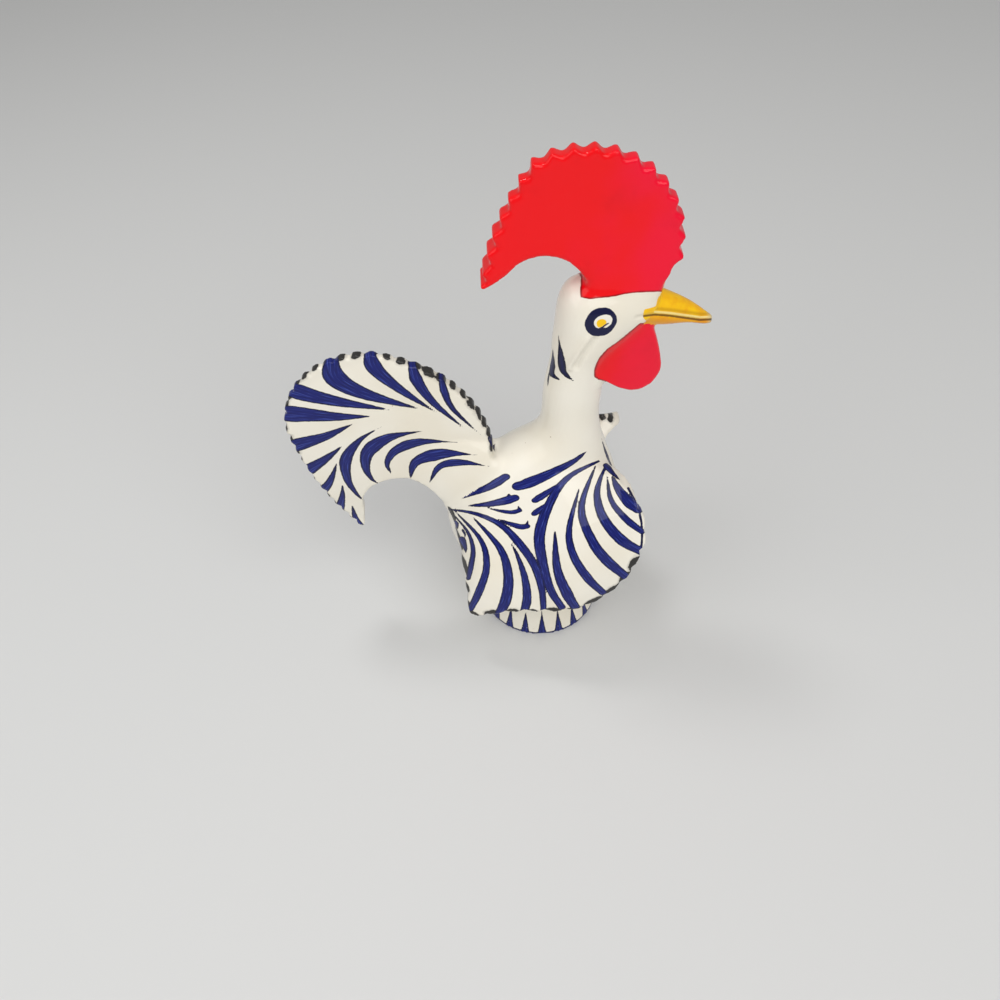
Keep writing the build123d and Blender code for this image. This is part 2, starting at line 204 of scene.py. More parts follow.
def outermost(points, quads):
    """The squares of the largest connected surface, without the walls of closed hollows."""
    edges = edges_of(quads)
    label = np.arange(len(points))
    while True:
        lowest = label.copy()
        np.minimum.at(lowest, edges[:, 0], label[edges[:, 1]])
        np.minimum.at(lowest, edges[:, 1], label[edges[:, 0]])
        lowest = lowest[lowest]
        if (lowest == label).all():
            break
        label = lowest
    names, counts = np.unique(label, return_counts=True)
    keep = label == names[counts.argmax()]
    place = np.cumsum(keep) - 1
    return points[keep], place[quads[keep[quads[:, 0]]]]


def neighbour_mean(values, edges):
    """For each point, the mean of a value over the points that an edge joins it to."""
    count = len(values)
    degree = np.bincount(edges.ravel(), minlength=count)
    mean = np.zeros_like(values)
    for axis in range(values.shape[1]):
        total = np.bincount(edges[:, 0], values[edges[:, 1], axis], count)
        total += np.bincount(edges[:, 1], values[edges[:, 0], axis], count)
        mean[:, axis] = total / degree
    return mean


def relax(points, edges, rounds, amount):
    """Points drawn towards their neighbours, by an amount that may differ from point to point."""
    for _ in range(rounds):
        points = points + amount * (neighbour_mean(points, edges) - points)
    return points


def distance_to(cad_node, points, far):
    """How far each point lies from a CAD piece, up to a limit."""
    mesh = cad_node.data
    mesh.calc_loop_triangles()
    tree = BVHTree.FromPolygons([v.co for v in mesh.vertices], [t.vertices for t in mesh.loop_triangles])
    low, high = (np.array(corner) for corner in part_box(cad_node.name))
    gaps = np.full(len(points), far)
    near = np.flatnonzero(((points > low - far) & (points < high + far)).all(axis=1))
    for index in near:
        found = tree.find_nearest(points[index], far)
        if found[3] is not None:
            gaps[index] = found[3]
    return gaps


def normals_of(points, quads):
    """The outward direction at each point."""
    across = np.cross(points[quads[:, 2]] - points[quads[:, 0]], points[quads[:, 3]] - points[quads[:, 1]])
    total = np.zeros_like(points)
    for corner in range(4):
        np.add.at(total, quads[:, corner], across)
    return total / np.linalg.norm(total, axis=1, keepdims=True)


def seen_from_side(points, normals):
    """Where a look from the viewpoint meets the middle plane, with the left side as the right's mirror."""
    mirrored = points * (1, -1, 1)
    left = points[:, 1] > 0
    near = np.where(left[:, None], mirrored, points)
    turned = np.where(left[:, None], normals * (1, -1, 1), normals)
    eye = np.array(VIEW_PLACE)
    reach = eye[1] / (eye[1] - near[:, 1:2])
    way = eye - near
    facing = (turned * way).sum(axis=1) / np.linalg.norm(way, axis=1)
    return eye - way * reach, facing


def distance_from(places, line):
    """How far each place lies from a line of straight runs."""
    corners = np.array(line) * MM
    nearest = np.full(len(places), np.inf)
    for start, end in zip(corners, corners[1:]):
        side = end - start
        share = np.clip(((places - start) @ side) / (side @ side), 0, 1)
        nearest = np.minimum(nearest, np.linalg.norm(places - start - share[:, None] * side, axis=1))
    return nearest


def eased(values, low, high):
    """The share of a range that values have come through, eased at both ends."""
    share = np.clip((values - low) / (high - low), 0, 1)
    return share ** 2 * (3 - 2 * share)


def owned_by(names):
    """Which points of the skin belong to some pieces."""
    return np.isin(nearest_two[:, 0], [node_names.index(name) for name in names])


def pressed(points, normals, line, names, press):
    """Points of some pieces moved in or out along a line that is drawn as it is seen from the side."""
    half, height = press
    seen, facing = seen_from_side(points, normals)
    share = eased(distance_from(seen[:, [0, 2]], line), half, 0) * (owned_by(names) & (facing > 0))
    return points + normals * (height * share)[:, None]


def trimmed_below(points, line, name):
    """Points of one piece lifted to a line that is drawn as it is seen from the side."""
    seen = seen_from_side(points, points)[0]
    across, height = np.array(line).T * MM
    lift = np.clip(np.interp(seen[:, 0], across, height) - seen[:, 2], 0, None)
    lift *= owned_by([name]) * np.clip((WATTLE_FRONT - seen[:, 0]) / WATTLE_FADE, 0, 1)
    return points + lift[:, None] * (0, 0, 1)


def raised_lobe(points, name):
    """Points of a wing's free front lobe raised, less near its root and its joint."""
    lift = LOBE_LIFT * owned_by([name]) * (1 - joint_share[:, 0])
    for axis, start, full in zip((0, 2), LOBE_START, LOBE_FULL):
        lift *= eased(points[:, axis], start, full)
    return points + lift[:, None] * (0, 0, 1)


skin_points, skin_quads = outermost(*raw_skin())
skin_edges = edges_of(skin_quads)
node_names = sorted(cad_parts)
node_gaps = [distance_to(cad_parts[name], skin_points, JOINT_REACH) for name in node_names]
node_gaps = np.stack(node_gaps, axis=1)
second_gap = np.sort(node_gaps, axis=1)[:, 1:2]
joint_share = np.clip(1 - second_gap / JOINT_REACH, 0, 1)
softness = np.array([JOINT_SOFTNESS.get(name, 1.0) for name in node_names])
nearest_two = np.argsort(node_gaps, axis=1)[:, :2]
joint_share *= softness[nearest_two].min(axis=1)[:, None]
for _ in range(EDGE_ROUNDS):
    skin_points = relax(skin_points, skin_edges, 1, SMOOTHING)
    skin_points = relax(skin_points, skin_edges, 1, SWELLING)
for name, rounds in ROUNDED_ROUNDS.items():
    skin_points = relax(skin_points, skin_edges, rounds, SMOOTHING * owned_by([name])[:, None])
skin_points = relax(skin_points, skin_edges, JOINT_ROUNDS, SMOOTHING * joint_share)
skin_points = raised_lobe(skin_points, "left_wing")
skin_points = trimmed_below(skin_points, WATTLE_UNDERSIDE, "wattle")
skin_points = relax(skin_points, skin_edges, WATTLE_ROUNDS, SMOOTHING * owned_by(["wattle"])[:, None])
skin_normals = normals_of(skin_points, skin_quads)
for line, names, press in [
    (MOUTH_LINE, ["head", "upper_beak", "lower_beak"], MOUTH_PRESS),
    (CHEEK_RIDGE, ["head", "neck"], RIDGE_PRESS),
    (CHEEK_CREASE, ["head", "neck"], CREASE_PRESS),
]:
    skin_points = pressed(skin_points, skin_normals, line, names, press)
skin_normals = normals_of(skin_points, skin_quads)
node_gaps = relax(node_gaps, skin_edges, OWNER_ROUNDS, SMOOTHING)
quad_owner = node_gaps[skin_quads].sum(axis=1).argmin(axis=1)
quad_middle = skin_points[skin_quads].mean(axis=1)
foot_inside = np.hypot(quad_middle[:, 0], quad_middle[:, 1]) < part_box("foot")[1].x - FOOT_WALL
under_foot = (quad_middle[:, 2] < VOXEL) & foot_inside
quad_owner[under_foot] = -1


def keep_vectors(mesh, name, values):
    """A vector kept at each point of a mesh under a name."""
    layer = mesh.attributes.new(name, "FLOAT_VECTOR", "POINT")
    layer.data.foreach_set("vector", values.astype(np.float32).ravel())


def keep_numbers(mesh, name, values):
    """A number kept at each point of a mesh under a name."""
    layer = mesh.attributes.new(name, "FLOAT", "POINT")
    layer.data.foreach_set("value", values.astype(np.float32))


def read_vectors(mesh, name):
    """The vectors that a mesh keeps under a name."""
    values = np.zeros(len(mesh.vertices) * 3, np.float32)
    mesh.attributes[name].data.foreach_get("vector", values)
    return values.reshape(-1, 3)


def glazed_piece(name, wall):
    """One piece's share of the skin as a closed shell of even wall, which keeps what its paint needs."""
    quads = skin_quads[quad_owner == node_names.index(name)]
    used, quads = np.unique(quads, return_inverse=True)
    quads = quads.reshape(-1, 4)
    count = len(used)
    outer = skin_points[used]
    normals = skin_normals[used]
    inner = outer - wall * normals
    directed = np.concatenate([quads[:, [i, (i + 1) % 4]] for i in range(4)])
    codes = directed[:, 0] * count + directed[:, 1]
    twins = directed[:, 1] * count + directed[:, 0]
    open_edges = directed[~np.isin(codes, twins)]
    start, end = open_edges[:, 0], open_edges[:, 1]
    rim = np.stack([end, start, start + count, end + count], axis=1)
    faces = np.concatenate([quads, quads[:, ::-1] + count, rim])
    mesh = bpy.data.meshes.new(name + "_glazed")
    mesh.from_pydata(np.concatenate([outer, inner]), [], faces.tolist())
    mesh.polygons.foreach_set("use_smooth", np.ones(len(faces), bool))
    keep_vectors(mesh, "outward", np.concatenate([normals, -normals]))
    piece = bpy.data.objects.new(name + "_glazed", mesh)
    scene.collection.objects.link(piece)
    both = np.concatenate([outer, outer])
    seen, facing = seen_from_side(both, np.concatenate([normals, normals]))
    keep_vectors(mesh, "look", seen)
    seen[count:] = UNPAINTED
    keep_vectors(mesh, "seen", seen)
    keep_numbers(mesh, "fade", FADE_DEPTH * np.clip((FADE_START - facing) / (FADE_START - FADE_END), 0, 1))
    side = both * (1, 0, 1)
    side[count:] = UNPAINTED
    keep_vectors(mesh, "side", side)
    keep_vectors(mesh, "strokes", np.full((2 * count, 3), NO_PAINT))
    keep_numbers(mesh, "dabs", np.full(2 * count, NO_PAINT))
    return piece


def finish_piece(piece, name, material):
    """The finished mesh with its smooth normals and its place in the record."""
    mesh = piece.data
    outward = read_vectors(mesh, "outward")
    mesh.normals_split_custom_set_from_vertices(outward.tolist())
    mesh.materials.clear()
    mesh.materials.append(material)
    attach(piece, "root")
    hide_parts(name)


# The tail.
# A flat fan of clay with a scalloped edge, luted to the back; blue feathers are brushed on its glaze from
# the rim inwards and round its bay, and a dark dab is put on each scallop between them.
THIN_WALL = 1.2 * MM
# A stroke is its greatest width and then its points, in millimetres on the middle plane.
TAIL_TOP_FEATHERS = [
    (3.8, (-42.5, 156), (-41.5, 146.5), (-38, 135.5), (-26, 118.5)),
    (5.8, (-54.5, 164), (-53, 153.5), (-46.5, 140), (-33.5, 123.5)),
    (7.6, (-71.5, 173), (-71, 163), (-62, 150.5), (-46, 134.5)),
    (10.4, (-88.5, 168.5), (-88.5, 158), (-77, 148), (-53.5, 137.5)),
]
TAIL_BACK_FEATHERS = [
    (9.2, (-109.5, 153), (-100.5, 148.5), (-87, 143.5), (-67.5, 138)),
    (10, (-115, 139), (-104.5, 137.5), (-92, 135.5), (-76.5, 134.5)),
    (8, (-115, 118.5), (-107, 121), (-98, 124), (-85, 130.5)),
    (7, (-112, 101.5), (-105.5, 106), (-99.5, 110.5), (-92, 117)),
    (5.2, (-107, 87), (-102.5, 92.5), (-99, 99.5), (-96.5, 106)),
    (5, (-100.5, 73), (-98.5, 79), (-97, 84.5), (-96, 91.5)),
    (4.6, (-91.5, 59), (-93, 64.5), (-93.5, 70), (-93.5, 77)),
]
TAIL_CRESCENTS = [
    (6, (-71, 128.5), (-83, 120.5), (-91.5, 108.5), (-93, 95), (-90.5, 85), (-86.5, 77.5)),
    (7.4, (-51.5, 124), (-69, 121), (-80, 113), (-83, 103), (-81.5, 94.5), (-78, 90)),
    (6, (-38, 115.5), (-55, 117), (-67, 112.5), (-72.5, 104), (-71, 96)),
    (8, (-29, 106.5), (-45.5, 108.5), (-58.5, 104), (-62.5, 93)),
    (5.2, (-22.5, 98), (-37, 102), (-47.5, 100), (-53.5, 89)),
]
TAIL_ROOT_LINES = [(2, (-23, 118), (-22, 114), (-21, 110), (-20, 106.5))]
TAIL_RIM = [
    (-21, 112.5), (-37.5, 151.2), (-72, 170.8), (-102, 160.8), (-115.5, 131.5), (-107.8, 97.9), (-90.6, 61.1),
]
TAIL_SCALLOPS = 34
TAIL_DAB_HALF = (2.8 * MM, 1.3 * MM)
TAIL_SEED = 3
BRUSH_BENDS = 24
BRUSH_STEP = 0.4 * MM
BRUSH_TIP = 0.02
DAB_LOAD = (0.55, 1.3)
ARC_STEPS = 40


def group_tree(name, sockets):
    """A Geometry Nodes tree with named inputs, and what its input node gives."""
    tree = bpy.data.node_groups.new(name, "GeometryNodeTree")
    tree.interface.new_socket("Geometry", in_out="OUTPUT", socket_type="NodeSocketGeometry")
    tree.interface.new_socket("Geometry", in_out="INPUT", socket_type="NodeSocketGeometry")
    for label, kind in sockets:
        tree.interface.new_socket(label, in_out="INPUT", socket_type="NodeSocket" + kind)
    return tree, node(tree, "NodeGroupInput").outputs


def close_tree(tree, geometry, material):
    """The ending that every tree here has: real geometry with its material."""
    real = node(tree, "GeometryNodeRealizeInstances", {"Geometry": geometry}).outputs[0]
    shown = node(tree, "GeometryNodeSetMaterial", {"Geometry": real, "Material": material}).outputs[0]
    node(tree, "NodeGroupOutput", {"Geometry": shown})


def apply_tree(piece, tree, **inputs):
    """A tree run once on a piece, whose mesh is then plain again."""
    modifier = piece.modifiers.new(tree.name, "NODES")
    modifier.node_group = tree
    for item in tree.interface.items_tree:
        if item.in_out == "INPUT" and item.name in inputs:
            modifier[item.identifier] = inputs[item.name]
    piece.update_tag()
    graph = bpy.context.evaluated_depsgraph_get()
    shown = piece.evaluated_get(graph)
    painted = bpy.data.meshes.new_from_object(shown, preserve_all_data_layers=True, depsgraph=graph)
    piece.modifiers.clear()
    piece.data = painted


def maths(tree, operation, first, second=0.0):
    """One sum on two numbers."""
    return node(tree, "ShaderNodeMath", {0: first, 1: second}, operation=operation).outputs[0]


def vector_maths(tree, operation, first, second=(0, 0, 0), output="Vector"):
    """One sum on two vectors."""
    return node(tree, "ShaderNodeVectorMath", {0: first, 1: second}, operation=operation).outputs[output]


def ranged(tree, value, low, high, low_to=0.0, high_to=1.0):
    """A value eased from one range into another."""
    sockets = {"Value": value, 1: low, 2: high, 3: low_to, 4: high_to}
    return node(tree, "ShaderNodeMapRange", sockets, interpolation_type="SMOOTHSTEP").outputs[0]


def stored(tree, geometry, name, value, kind="FLOAT"):
    """Geometry that keeps a value at each point under a name."""
    sockets = {"Geometry": geometry, "Name": name, "Value": value}
    return node(tree, "GeometryNodeStoreNamedAttribute", sockets, data_type=kind).outputs[0]


def named(tree, name, kind="FLOAT"):
    """The value that each point keeps under a name."""
    return node(tree, "GeometryNodeInputNamedAttribute", {"Name": name}, data_type=kind).outputs[0]


def sampled(tree, geometry, value, index, kind="FLOAT"):
    """A value at one point of other geometry."""
    sockets = {"Geometry": geometry, "Value": value, "Index": index}
    return node(tree, "GeometryNodeSampleIndex", sockets, data_type=kind).outputs[0]


def nearest_dot(tree, dots, canvas):
    """A path's dot nearest to each place on the canvas, the way from it, its heading and how far aside."""
    points = dots["Points"]
    spots = {"Geometry": points, "Sample Position": canvas}
    nearest = node(tree, "GeometryNodeSampleNearest", spots).outputs[0]
    position = node(tree, "GeometryNodeInputPosition").outputs[0]
    gap = vector_maths(tree, "SUBTRACT", canvas, sampled(tree, points, position, nearest, "FLOAT_VECTOR"))
    ahead = sampled(tree, points, dots["Tangent"], nearest, "FLOAT_VECTOR")
    aside = vector_maths(tree, "CROSS_PRODUCT", ahead, (0, 1, 0))
    across = vector_maths(tree, "DOT_PRODUCT", gap, aside, "Value")
    return nearest, gap, ahead, across


def brush_tree():
    """Brush strokes laid on a piece: how deep each point is inside the nearest stroke, and where on it."""
    sockets = [
        ("Strokes", "Object"), ("Belly", "Float"), ("Blunt", "Float"), ("Taper", "Float"),
        ("Canvas", "String"), ("Fade", "Float"), ("Glaze", "Material"),
    ]
    tree, given = group_tree("brush_strokes", sockets)
    drawn = node(tree, "GeometryNodeObjectInfo", {"Object": given["Strokes"]}).outputs["Geometry"]
    bent = node(tree, "GeometryNodeCurveSplineType", {"Curve": drawn}, spline_type="CATMULL_ROM").outputs[0]
    bends = {"Geometry": bent, "Resolution": BRUSH_BENDS}
    fine = node(tree, "GeometryNodeSetSplineResolution", bends).outputs[0]
    steps = {"Curve": fine, "Length": BRUSH_STEP}
    path = node(tree, "GeometryNodeResampleCurve", steps, mode="LENGTH").outputs[0]
    way = node(tree, "GeometryNodeSplineParameter").outputs
    swell = ranged(tree, way["Factor"], 0.0, given["Belly"], given["Blunt"], 1.0)
    left = node(
        tree, "ShaderNodeMapRange", {"Value": way["Factor"], 1: given["Belly"], 2: 1.0, 3: 1.0, 4: BRUSH_TIP},
    ).outputs[0]
    thin = maths(tree, "POWER", left, given["Taper"])
    pressure = maths(tree, "MULTIPLY", swell, thin)
    width = maths(tree, "MULTIPLY", pressure, node(tree, "GeometryNodeInputRadius").outputs[0])
    wide = stored(tree, path, "half", width)
    long = stored(tree, wide, "way", way["Length"])
    dots = node(tree, "GeometryNodeCurveToPoints", {"Curve": long}, mode="EVALUATED").outputs
    nearest, gap, _, across = nearest_dot(tree, dots, named(tree, given["Canvas"], "FLOAT_VECTOR"))
    half = sampled(tree, dots["Points"], named(tree, "half"), nearest)
    along = sampled(tree, dots["Points"], named(tree, "way"), nearest)
    far = vector_maths(tree, "LENGTH", gap, output="Value")
    faded = maths(tree, "MULTIPLY", named(tree, "fade"), given["Fade"])
    depth = maths(tree, "SUBTRACT", maths(tree, "SUBTRACT", half, far), faded)
    laid = node(tree, "ShaderNodeCombineXYZ", {0: depth, 1: across, 2: along}).outputs[0]
    before = named(tree, "strokes", "FLOAT_VECTOR")
    old_depth = node(tree, "ShaderNodeSeparateXYZ", {0: before}).outputs[0]
    depths = {0: old_depth, 1: depth}
    keep_old = node(tree, "FunctionNodeCompare", depths, operation="GREATER_THAN").outputs[0]
    choice = {"Switch": keep_old, "False": laid, "True": before}
    final = node(tree, "GeometryNodeSwitch", choice, input_type="VECTOR").outputs[0]
    close_tree(tree, stored(tree, given["Geometry"], "strokes", final, "FLOAT_VECTOR"), given["Glaze"])
    return tree


def dab_tree():
    """Long dabs of even pitch along a rim: how deep each point is inside the nearest dab."""
    sockets = [
        ("Rim", "Object"), ("Count", "Int"), ("Half length", "Float"), ("Half width", "Float"),
        ("Seed", "Int"), ("Glaze", "Material"),
    ]
    tree, given = group_tree("rim_dabs", sockets)
    rim = node(tree, "GeometryNodeObjectInfo", {"Object": given["Rim"]}).outputs["Geometry"]
    half_pitch = maths(tree, "DIVIDE", 0.5, given["Count"])
    rest = maths(tree, "SUBTRACT", 1.0, half_pitch)
    ends = {"Curve": rim, 2: half_pitch, 3: rest}
    trimmed = node(tree, "GeometryNodeTrimCurve", ends, mode="FACTOR").outputs[0]
    pitches = {"Curve": trimmed, "Count": given["Count"]}
    places = node(tree, "GeometryNodeResampleCurve", pitches, mode="COUNT").outputs[0]
    dots = node(tree, "GeometryNodeCurveToPoints", {"Curve": places}, mode="EVALUATED").outputs
    nearest, gap, ahead, across = nearest_dot(tree, dots, named(tree, "side", "FLOAT_VECTOR"))
    along = vector_maths(tree, "DOT_PRODUCT", gap, ahead, "Value")
    drawn = {2: DAB_LOAD[0], 3: DAB_LOAD[1], "ID": nearest, "Seed": given["Seed"]}
    load = node(tree, "FunctionNodeRandomValue", drawn, data_type="FLOAT").outputs[1]
    length_share = maths(tree, "DIVIDE", along, maths(tree, "MULTIPLY", given["Half length"], load))
    width_share = maths(tree, "DIVIDE", across, maths(tree, "MULTIPLY", given["Half width"], load))
    shares = node(tree, "ShaderNodeCombineXYZ", {0: length_share, 1: width_share}).outputs[0]
    inward = maths(tree, "SUBTRACT", 1.0, vector_maths(tree, "LENGTH", shares, output="Value"))
    depth = maths(tree, "MULTIPLY", inward, given["Half width"])
    deepest = maths(tree, "MAXIMUM", named(tree, "dabs"), depth)
    close_tree(tree, stored(tree, given["Geometry"], "dabs", deepest), given["Glaze"])
    return tree


def draw_paths(name, paths):
    """A curve with one stroke for each path of a width and its points in millimetres on the middle plane."""
    curve = bpy.data.curves.new(name, "CURVE")
    curve.dimensions = "3D"
    for width, *points in paths:
        spline = curve.splines.new("POLY")
        spline.points.add(len(points) - 1)
        for spot, (x, z) in zip(spline.points, points):
            spot.co = (x * MM, 0, z * MM, 1)
            spot.radius = width / 2 * MM
    drawing = bpy.data.objects.new(name, curve)
    scene.collection.objects.link(drawing)
    return drawing


def brush(piece, paths, pressure, glaze, canvas="seen", fade=1.0):
    """Strokes from their first point to their last, laid on a piece; neighbours are laid in turn."""
    for first in range(2):
        drawing = draw_paths("strokes", paths[first::2])
        apply_tree(piece, BRUSH, Strokes=drawing, Canvas=canvas, Fade=fade, Glaze=glaze, **pressure)
        bpy.data.objects.remove(drawing)


def arc_through(start, middle, end):
    """Points on the arc through three places."""
    a, b, c = (complex(*place) for place in (start, middle, end))
    w = (c - a) / (b - a)
    centre = a + (b - a) * (w - abs(w) ** 2) / (2j * w.imag)
    sweep = np.angle((c - centre) / (a - centre))
    spots = centre + (a - centre) * np.exp(1j * sweep * np.linspace(0, 1, ARC_STEPS))
    return [(spot.real, spot.imag) for spot in spots]


def rim_path(places):
    """The path of a rim from the ends and middles of its arcs."""
    path = []
    for index in range(0, len(places) - 2, 2):
        path += arc_through(*places[index:index + 3])[bool(index):]
    return path


def dab_rim(piece, places, count, half_size, seed, glaze):
    """A dab on each scallop of a rim."""
    drawing = draw_paths("rim", [(1.0, *rim_path(places))])
    sizes = {"Half length": half_size[0], "Half width": half_size[1]}
    apply_tree(piece, DABS, Rim=drawing, Count=count, Seed=seed, Glaze=glaze, **sizes)
    bpy.data.objects.remove(drawing)


def srgb(red, green, blue):
    """A colour as a shader takes it, from its three parts out of 255."""
    parts = [value / 255 for value in (red, green, blue)]
    return (*[p / 12.92 if p <= 0.04045 else ((p + 0.055) / 1.055) ** 2.4 for p in parts], 1)


CREAM = srgb(236, 231, 218)
WARM_CREAM = srgb(226, 217, 196)
COBALT = srgb(18, 27, 104)
PALE_COBALT = srgb(66, 84, 172)
DEEP_COBALT = srgb(8, 9, 36)
INK = srgb(10, 9, 14)
SPECK = srgb(150, 120, 88)
COAT_WEIGHT = 0.8
COAT_ROUGHNESS = 0.04
COAT_BEND = 1.36
BODY_ROUGHNESS = 0.4
BODY_SHINE = 0.06
# Relief and wander are a noise's scale and its amount; a range is its two ends and what it gives there.
GLAZE_SWELLS = (90, 0.35)
GLAZE_GRAIN = (700, 0.05)
BUMP_STRENGTH = 0.35
BUMP_HEIGHT = 0.6 * MM
WARM_SCALE = 28
WARM_RANGE = (0.35, 0.75, 0.0, 0.6)
SPECK_SCALE = 170.0
SPECK_RARITY = (0.86, 0.9)
SPECK_SIZE = (0.03, 0.07, 1.0, 0.0)
SPECK_STRENGTH = 0.7
STROKE_WANDER = (520, 0.5 * MM)
HAIRS_ACROSS = 1300
HAIRS_ALONG = 90
HAIR_DETAIL = 3.0
THIN_PAINT = (0.5, 0.8)
THICK_PAINT = (0.5, 0.25, 0.0, 0.8)
POOLED_EDGE = (0.1 * MM, 1.2 * MM, 0.9, 0.0)
STROKE_EDGE = (-0.1 * MM, 0.14 * MM)
STROKE_RELIEF = 0.12
DAB_WANDER = (330, 2.0 * MM)
DAB_BLEED = (-1.2 * MM, 0.1 * MM, 0.0, 0.25)
DAB_EDGE = (-0.1 * MM, 0.25 * MM, 0.0, 0.96)


def mixed(tree, first, second, share):
    """Two colours mixed by a share of the second."""
    return node(tree, "ShaderNodeMix", {"Factor": share, 6: first, 7: second}, data_type="RGBA").outputs[2]


def noise(tree, place, scale, detail=2.0):
    """Soft noise at a place."""
    return node(tree, "ShaderNodeTexNoise", {"Vector": place, "Scale": scale, "Detail": detail}).outputs[0]


def wandering(tree, value, place, wander):
    """A value that wanders a little from place to place, as a hand-brushed edge does."""
    scale, amount = wander
    aside = maths(tree, "SUBTRACT", noise(tree, place, scale), 0.5)
    return maths(tree, "ADD", value, maths(tree, "MULTIPLY", aside, amount))


def kept_number(tree, name):
    """The number that a piece keeps under a name, as its glaze reads it."""
    return node(tree, "ShaderNodeAttribute", attribute_name=name).outputs["Fac"]


def clay_place(tree):
    """The point of the piece that is shaded."""
    return node(tree, "ShaderNodeTexCoord").outputs["Object"]


def gloss(tree, shader, place, colour, extra_height=None):
    """A clear, slightly uneven glaze over a colour."""
    tree.links.new(colour, shader.inputs["Base Color"])
    settings = {
        "Roughness": BODY_ROUGHNESS, "Specular IOR Level": BODY_SHINE, "Coat Weight": COAT_WEIGHT,
        "Coat Roughness": COAT_ROUGHNESS, "Coat IOR": COAT_BEND,
    }
    for socket, value in settings.items():
        shader.inputs[socket].default_value = value
    swells, grain = (
        maths(tree, "MULTIPLY", noise(tree, place, scale), amount)
        for scale, amount in (GLAZE_SWELLS, GLAZE_GRAIN)
    )
    height = maths(tree, "ADD", swells, grain)
    if extra_height is not None:
        height = maths(tree, "ADD", height, extra_height)
    relief = {"Strength": BUMP_STRENGTH, "Distance": BUMP_HEIGHT, "Height": height}
    bump = node(tree, "ShaderNodeBump", relief).outputs[0]
    tree.links.new(bump, shader.inputs["Normal"])
    tree.links.new(bump, shader.inputs["Coat Normal"])


def white_ground(tree, place):
    """Cream glaze that is warmer in places, with a few iron specks."""
    warm = ranged(tree, noise(tree, place, WARM_SCALE), *WARM_RANGE)
    ground = mixed(tree, CREAM, WARM_CREAM, warm)
    cells = node(tree, "ShaderNodeTexVoronoi", {"Vector": place, "Scale": SPECK_SCALE}).outputs
    draw = node(tree, "ShaderNodeSeparateColor", {0: cells["Color"]}).outputs[0]
    rare = ranged(tree, draw, *SPECK_RARITY)
    spot = ranged(tree, cells["Distance"], *SPECK_SIZE)
    specks = maths(tree, "MULTIPLY", maths(tree, "MULTIPLY", rare, spot), SPECK_STRENGTH)
    return mixed(tree, ground, SPECK, specks)


def brushed(tree, place, under, thick=COBALT, thin=PALE_COBALT):
    """Blue strokes over a ground: streaked along the brush and dark where the paint pools at their edges."""
    layer = node(tree, "ShaderNodeAttribute", attribute_name="strokes").outputs["Vector"]
    parts = node(tree, "ShaderNodeSeparateXYZ", {0: layer}).outputs
    depth = wandering(tree, parts[0], place, STROKE_WANDER)
    across = maths(tree, "MULTIPLY", parts[1], HAIRS_ACROSS)
    along = maths(tree, "MULTIPLY", parts[2], HAIRS_ALONG)
    hairs = node(tree, "ShaderNodeCombineXYZ", {0: across, 1: along}).outputs[0]
    streaks = noise(tree, hairs, 1.0, HAIR_DETAIL)
    blue = mixed(tree, thick, thin, ranged(tree, streaks, *THIN_PAINT))
    blue = mixed(tree, blue, DEEP_COBALT, ranged(tree, streaks, *THICK_PAINT))
    blue = mixed(tree, blue, DEEP_COBALT, ranged(tree, depth, *POOLED_EDGE))
    share = ranged(tree, depth, *STROKE_EDGE)
    return mixed(tree, under, blue, share), maths(tree, "MULTIPLY", share, STROKE_RELIEF)


def dabbed(tree, place, under):
    """Dark dabs over a ground, with a grey bleed round them."""
    depth = wandering(tree, kept_number(tree, "dabs"), place, DAB_WANDER)
    bleed = mixed(tree, under, INK, ranged(tree, depth, *DAB_BLEED))
    return mixed(tree, bleed, INK, ranged(tree, depth, *DAB_EDGE))


def white_glaze(name):
    """Cream glaze with the blue strokes and dark dabs that its piece keeps."""
    material, tree, shader = new_material(name)
    place = clay_place(tree)
    ground = dabbed(tree, place, white_ground(tree, place))
    colour, relief = brushed(tree, place, ground)
    gloss(tree, shader, place, colour, relief)
    return material


BRUSH = brush_tree()
DABS = dab_tree()
# A stroke's pressure: how far along it is widest, how wide it starts and how fast it thins.
LEAF = {"Belly": 0.2, "Blunt": 0.6, "Taper": 0.9}
SWEEP = {"Belly": 0.1, "Blunt": 0.95, "Taper": 0.8}
CRESCENT = {"Belly": 0.52, "Blunt": 0.05, "Taper": 0.8}
WHITE = white_glaze("white_glaze")

tail = glazed_piece("tail", THIN_WALL)
brush(tail, TAIL_TOP_FEATHERS, LEAF, WHITE)
brush(tail, TAIL_BACK_FEATHERS, SWEEP, WHITE)
brush(tail, TAIL_CRESCENTS, CRESCENT, WHITE)
brush(tail, TAIL_ROOT_LINES, LEAF, WHITE)
dab_rim(tail, TAIL_RIM, TAIL_SCALLOPS, TAIL_DAB_HALF, TAIL_SEED, WHITE)
finish_piece(tail, "tail", WHITE)

